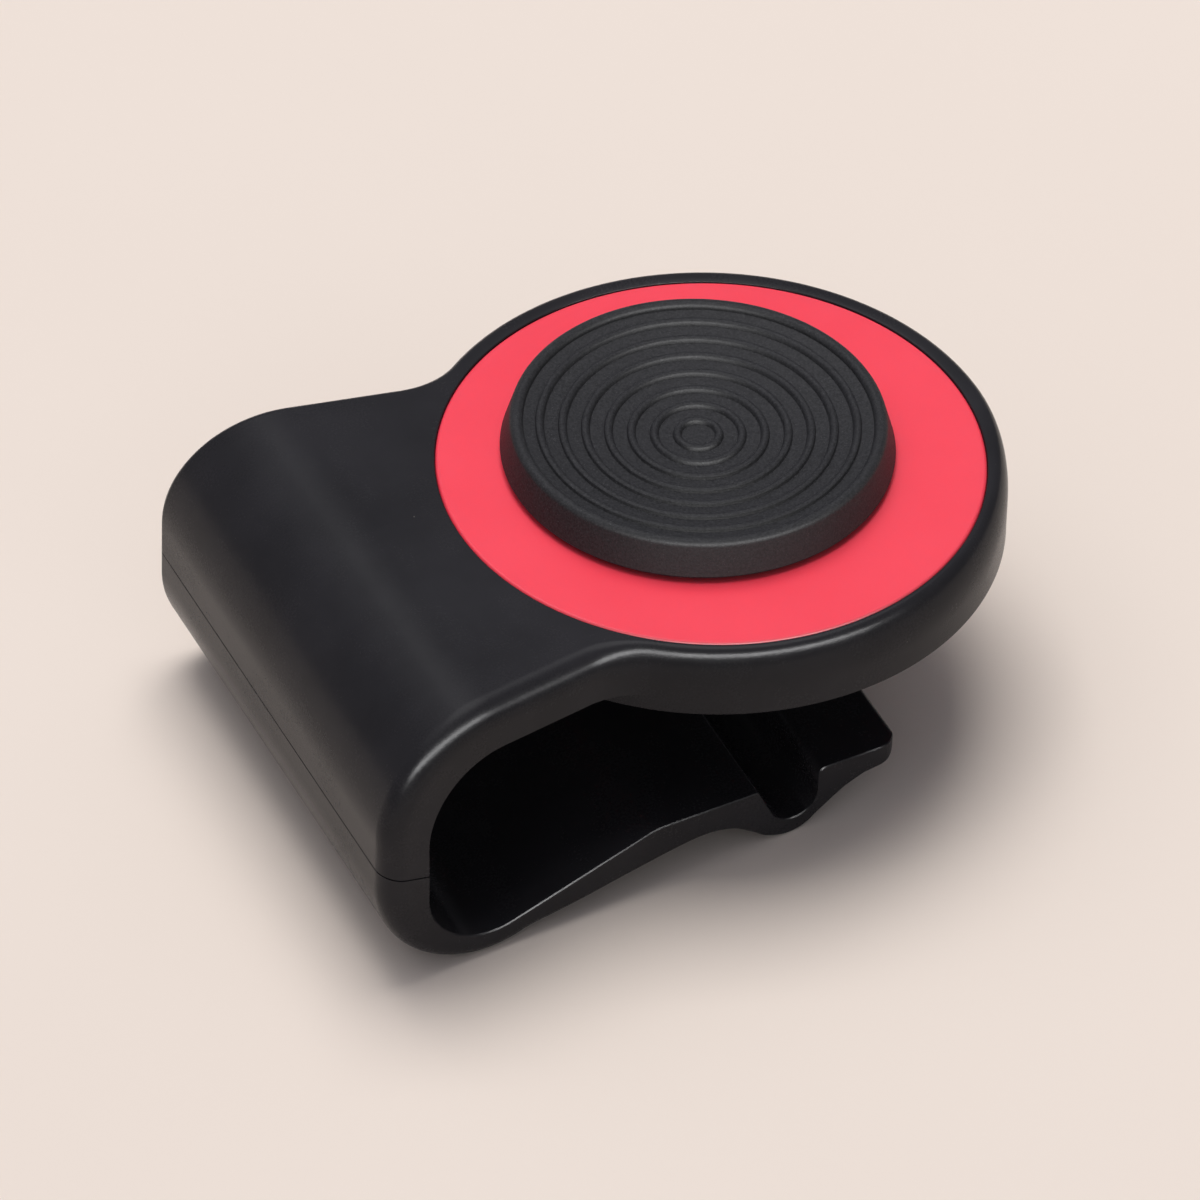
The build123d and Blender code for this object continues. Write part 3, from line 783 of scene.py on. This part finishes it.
def clip_lower(material):
    """Lower bend, rising arm, bump with its cross groove, and toe."""
    bm = bmesh.new()
    pairs = lower_stations()
    first = seam_section(pairs[0], SEAM_HALF)
    rows = [first]
    for outer, inner in pairs:
        along_arm = blend_factor(outer[0], ARM_EDGE_START_X, ARM_EDGE_END_X)
        radii = [r + (ARM_EDGE_R - r) * along_arm for r in (NEAR_EDGE_R, FAR_EDGE_R)]
        rows.append(section(outer, inner, *radii))
    skin(bm, rows)
    cap(bm, first[:-1])
    return new_piece("clip_lower", bm, PLACE, material, ["clip_jaw"])


def bend_with_wall(obj):
    """Bakes the piece's placement into its mesh points."""
    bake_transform(obj)


# ---- ring, pad and leaf spring ---------------------------------------------------------
def trim_ring(material):
    """Flush red ring with a rounded outer edge and a rebate for its adhesive."""
    bore_top = RING_BORE_R + RING_BORE_BEVEL
    profile = [(RING_BORE_R, -RING_THICK), (RING_BORE_R, -RING_BORE_BEVEL), (bore_top, 0.0)]
    profile += [(r, 0.0) for r in RING_FACE_RADII]
    profile += arc((RING_R - RING_EDGE_R, -RING_EDGE_R), RING_EDGE_R, 90, 0, 8)
    profile += [(RING_R, -RING_THICK + TAPE_THICK), (SOUND_WELL_R, -RING_THICK + TAPE_THICK)]
    profile += [(SOUND_WELL_R, -RING_THICK), (RING_BORE_R, -RING_THICK)]
    bm = bmesh.new()
    revolve(bm, profile, full_turn())
    return new_piece("red_ring", bm, PLACE, material, ["trim_ring"], "clip")


def dish_z(radius):
    """Height of the dished top at a radius."""
    depth = PAD_RIM_Z - DISH_DROP - PAD_CENTRE_Z
    return PAD_CENTRE_Z + depth * (radius / PAD_RIM_R) ** 2


def pad_top():
    """The dished top from its centre to the rim, with the raised rings, as (radius, height)."""
    points = [(0.0, PAD_CENTRE_Z)]
    for i in range(RIB_COUNT):
        middle = PAD_RIM_R * (RIB_FIRST + RIB_PITCH * i)
        for step in range(RIB_STEPS + 1):
            share = 2 * step / RIB_STEPS - 1
            radius = middle + share * RIB_WIDTH / 2
            rise = RIB_HIGH * math.sqrt(max(0.0, 1 - share**2))
            points.append((radius, dish_z(radius) + rise))
    points.append((DISH_R, dish_z(DISH_R)))
    return points


def thumb_pad(material):
    """Soft cap: tapered skirt, beaded rim and a dished top with raised rings."""
    profile = pad_top()
    crown = PAD_SHOULDER_R - PAD_EDGE_R
    bead = (DISH_R + BEAD_OUT, PAD_RIM_Z - BEAD_DROP)
    profile += arc_through(profile[-1], bead, (crown, PAD_RIM_Z), 6)[1:]
    edge_centre = (crown, PAD_RIM_Z - PAD_EDGE_R)
    profile += arc(edge_centre, PAD_EDGE_R, 90, SHOULDER_END_ANGLE, 7)[1:]
    core_z = PAD_BASE_Z + CORE_THICK
    profile += [
        (PAD_BASE_R, PAD_BASE_Z + SKIRT_FOOT_HIGH),
        (PAD_BASE_R - SKIRT_FOOT_IN, PAD_BASE_Z),
        (CORE_R, PAD_BASE_Z),
        (CORE_R, core_z),
        (0.0, core_z),
    ]
    bm = bmesh.new()
    revolve(bm, profile, full_turn())
    return new_piece("pad_cap", bm, PAD_PLACE, material, ["thumb_pad"], "pad")


def leaf_spring(material):
    """Flat spring steel leaf inside the back wall."""
    middle = BACK_X + WALL / 2
    left, right = middle - LEAF_THICK / 2, middle + LEAF_THICK / 2
    low, high = LEAF_BOTTOM_Z, LEAF_TOP_Z
    rows = []
    for i in range(LEAF_STEPS + 1):
        z = low + (high - low) * i / LEAF_STEPS
        into = max(0.0, LEAF_CORNER_R - (z - low), LEAF_CORNER_R - (high - z))
        half = LEAF_HALF_WIDTH - LEAF_CORNER_R
        half += math.sqrt(max(0.0, LEAF_CORNER_R**2 - into**2))
        corners = ((left, -half), (left, half), (right, half), (right, -half), (left, -half))
        rows.append([(x, y, z) for x, y in corners])
    bm = bmesh.new()
    skin(bm, rows)
    cap(bm, rows[0][:-1])
    cap(bm, rows[-1][:-1])
    return new_piece("leaf_spring", bm, PLACE, material, ["clamp_spring"])


# ---- colours, linear -----------------------------------------------------------------
CLIP_BLACK = (0.0190, 0.0184, 0.0210)
COVER_BLACK = (0.009, 0.009, 0.010)
DUST = (0.16, 0.15, 0.14)
RED_DEEP = (0.93, 0.046, 0.082)
RED_LIGHT = (0.96, 0.052, 0.090)
RUBBER_DARK = (0.012, 0.012, 0.0137)
RUBBER_LIGHT = (0.030, 0.030, 0.033)
# painted highlight colour for the rubber's glints
RUBBER_PAINTED_GLINT = (0.12, 0.12, 0.125)
FELT_DARK = (0.06, 0.06, 0.06)
FELT_LIGHT = (0.14, 0.14, 0.14)
SPRING_GREY = (0.6, 0.61, 0.62)
PLATED_GREY = (0.5, 0.51, 0.53)
BUSH_YELLOW = (0.78, 0.6, 0.3)
PLAIN_WHITE = (0.72, 0.72, 0.69)
ADHESIVE_WHITE = (0.62, 0.62, 0.58)
FLOOR_DARK = (0.80, 0.70, 0.62)
FLOOR_LIGHT = (0.84, 0.745, 0.665)

# ---- pieces --------------------------------------------------------------------------
clip_plastic = moulded_black(
    "clip_plastic", CLIP_BLACK, rough=0.25, grain_mm=0.14, grain_deep_mm=0.005, specks=True,
)
cover_plastic = moulded_black(
    "cover_plastic", COVER_BLACK, rough=0.45, grain_mm=0.16, grain_deep_mm=0.006,
)
spring_steel = metal(
    "spring_steel", SPRING_GREY, rough=0.28, brushed_mm=0.2, stretch=(0.1, 1, 1),
)
plated_steel = metal(
    "plated_steel", PLATED_GREY, rough=0.32, brushed_mm=0.15, stretch=(1, 1, 0.2),
)
white_moulded = plain_moulded("white_moulded", PLAIN_WHITE, rough=0.45)
adhesive = plain_moulded("adhesive_film", ADHESIVE_WHITE, rough=0.6)
bush_metal = metal("turned_bush", BUSH_YELLOW, rough=0.3, brushed_mm=0.1, stretch=(1, 1, 0.1))

for piece in (clip_upper(clip_plastic), clip_lower(clip_plastic), leaf_spring(spring_steel)):
    bend_with_wall(piece)
trim_ring(red_trim())
thumb_pad(pad_rubber())

NODE_MATERIALS = {
    "ring_tape": adhesive,
    "bottom_cover": cover_plastic,
    "cover_screws": plated_steel,
    "snap_dome": spring_steel,
    "dome_retainer": cover_plastic,
    "felt_ring": felt(),
    "cross_slide": white_moulded,
    "pad_carrier": white_moulded,
    "stem_bush": bush_metal,
    "pad_core": white_moulded,
    "striker_disc": plated_steel,
    "stem_screw": plated_steel,
    "return_spring": spring_steel,
}
for node, material in NODE_MATERIALS.items():
    part = frame["nodes"][node]
    for material_slot in part.material_slots:
        material_slot.material = material
    if not part.material_slots:
        part.data.materials.append(material)

# ---- floor, light and camera: metres and degrees -------------------------------------
FLOOR_REACH = 3.0
VIEW_AZIMUTH = -23.9985
VIEW_ELEVATION = 42.7631
VIEW_ROLL = -1.8962
VIEW_DISTANCE = 0.75
VIEW_AIM = Vector((-0.0025027, -0.0020172, 0.0102563))
LENS_MM = 415.665
SENSOR_MM = 36.0
NEAR_LIMIT = 0.01
FAR_LIMIT = 20.0
SKY_AXIS = (-0.12, 0.30, 0.95)
SKY_LOW = (0.1, (0.12, 0.12, 0.13))
SKY_MIDDLE = (0.82, (0.29, 0.29, 0.33))
SKY_TOP = (0.95, (1.25, 1.25, 1.30))


def direction(azimuth, elevation):
    """Unit vector away from the clip; azimuth 0 is the front, and it grows to the right."""
    a, e = math.radians(azimuth), math.radians(elevation)
    return Vector((math.sin(a) * math.cos(e), -math.cos(a) * math.cos(e), math.sin(e)))


def floor():
    """Plain pale floor that the clip stands on."""
    shader = Shader("floor", Roughness=0.75, Specular_IOR_Level=0.25)
    cloud = shader.noise(60.0, detail=2.0)
    shader.colour(shader.mix(cloud, FLOOR_DARK, FLOOR_LIGHT))
    bm = bmesh.new()
    r = FLOOR_REACH
    cap(bm, [(-r, -r, 0), (r, -r, 0), (r, r, 0), (-r, r, 0)])
    mesh = bpy.data.meshes.new("floor")
    bm.to_mesh(mesh)
    bm.free()
    mesh.materials.append(shader.material)
    obj = bpy.data.objects.new("floor", mesh)
    bpy.context.scene.collection.objects.link(obj)


def softbox(name, azimuth, elevation, distance, size, watts, colour, matte=True, gloss=True):
    """An area light that looks at the clip; it may serve only matte or only glossy reflection."""
    data = bpy.data.lights.new(name, "AREA")
    data.shape = "RECTANGLE"
    data.size, data.size_y = size
    data.energy = watts
    data.color = colour
    obj = bpy.data.objects.new(name, data)
    away = direction(azimuth, elevation)
    obj.location = VIEW_AIM + away * distance
    obj.rotation_euler = away.to_track_quat("Z", "Y").to_euler()
    obj.visible_diffuse = matte
    obj.visible_glossy = gloss
    bpy.context.scene.collection.objects.link(obj)


def lights():
    """A broad overhead light, a low fill, and two that only make highlights."""
    softbox(
        "overhead", azimuth=158, elevation=73, distance=1.3, size=(0.8, 0.8),
        watts=11.3, colour=(1.0, 0.985, 0.97), gloss=False,
    )
    softbox(
        "low_fill", azimuth=-14, elevation=12, distance=1.6, size=(1.4, 0.5),
        watts=2.2, colour=(1.0, 0.97, 0.95), gloss=False,
    )
    softbox(
        "top_shine", azimuth=156, elevation=68, distance=1.3, size=(0.9, 0.8),
        watts=4.0, colour=(1.0, 1.0, 1.0), matte=False,
    )
    softbox(
        "front_shine", azimuth=-8, elevation=38, distance=1.6, size=(2.6, 0.42),
        watts=112.0, colour=(1.0, 1.0, 1.0), matte=False,
    )


def camera():
    """The camera: a long lens from the front left, above, with a slight roll."""
    a, roll = math.radians(VIEW_AZIMUTH), math.radians(VIEW_ROLL)
    back = direction(VIEW_AZIMUTH, VIEW_ELEVATION)
    level = Vector((math.cos(a), math.sin(a), 0))
    rising = back.cross(level)
    right = math.cos(roll) * level + math.sin(roll) * rising
    top = back.cross(right)
    data = bpy.data.cameras.new("camera")
    data.lens = LENS_MM
    data.sensor_width = SENSOR_MM
    data.clip_start = NEAR_LIMIT
    data.clip_end = FAR_LIMIT
    obj = bpy.data.objects.new("camera", data)
    turned = Matrix((right, top, back)).transposed().to_4x4()
    obj.matrix_world = Matrix.Translation(VIEW_AIM + back * VIEW_DISTANCE) @ turned
    bpy.context.scene.collection.objects.link(obj)
    bpy.context.scene.camera = obj


def surroundings():
    """Soft room light: brightest overhead, towards the back, and dark low down in front."""
    world = bpy.data.worlds.new("room")
    world.use_nodes = True
    tree = world.node_tree
    place = tree.nodes.new("ShaderNodeTexCoord")
    height = tree.nodes.new("ShaderNodeVectorMath")
    height.operation = "DOT_PRODUCT"
    height.inputs[1].default_value = SKY_AXIS
    ramp = tree.nodes.new("ShaderNodeValToRGB")
    stops = ramp.color_ramp.elements
    for stop, (position, shade) in zip(stops, (SKY_LOW, SKY_TOP)):
        stop.position = position
        stop.color = (*shade, 1)
    position, shade = SKY_MIDDLE
    stops.new(position).color = (*shade, 1)
    tree.links.new(place.outputs["Generated"], height.inputs[0])
    tree.links.new(height.outputs["Value"], ramp.inputs["Fac"])
    tree.links.new(ramp.outputs["Color"], tree.nodes["Background"].inputs["Color"])
    bpy.context.scene.world = world


bpy.context.scene.view_settings.view_transform = "Standard"
floor()
surroundings()
lights()
camera()
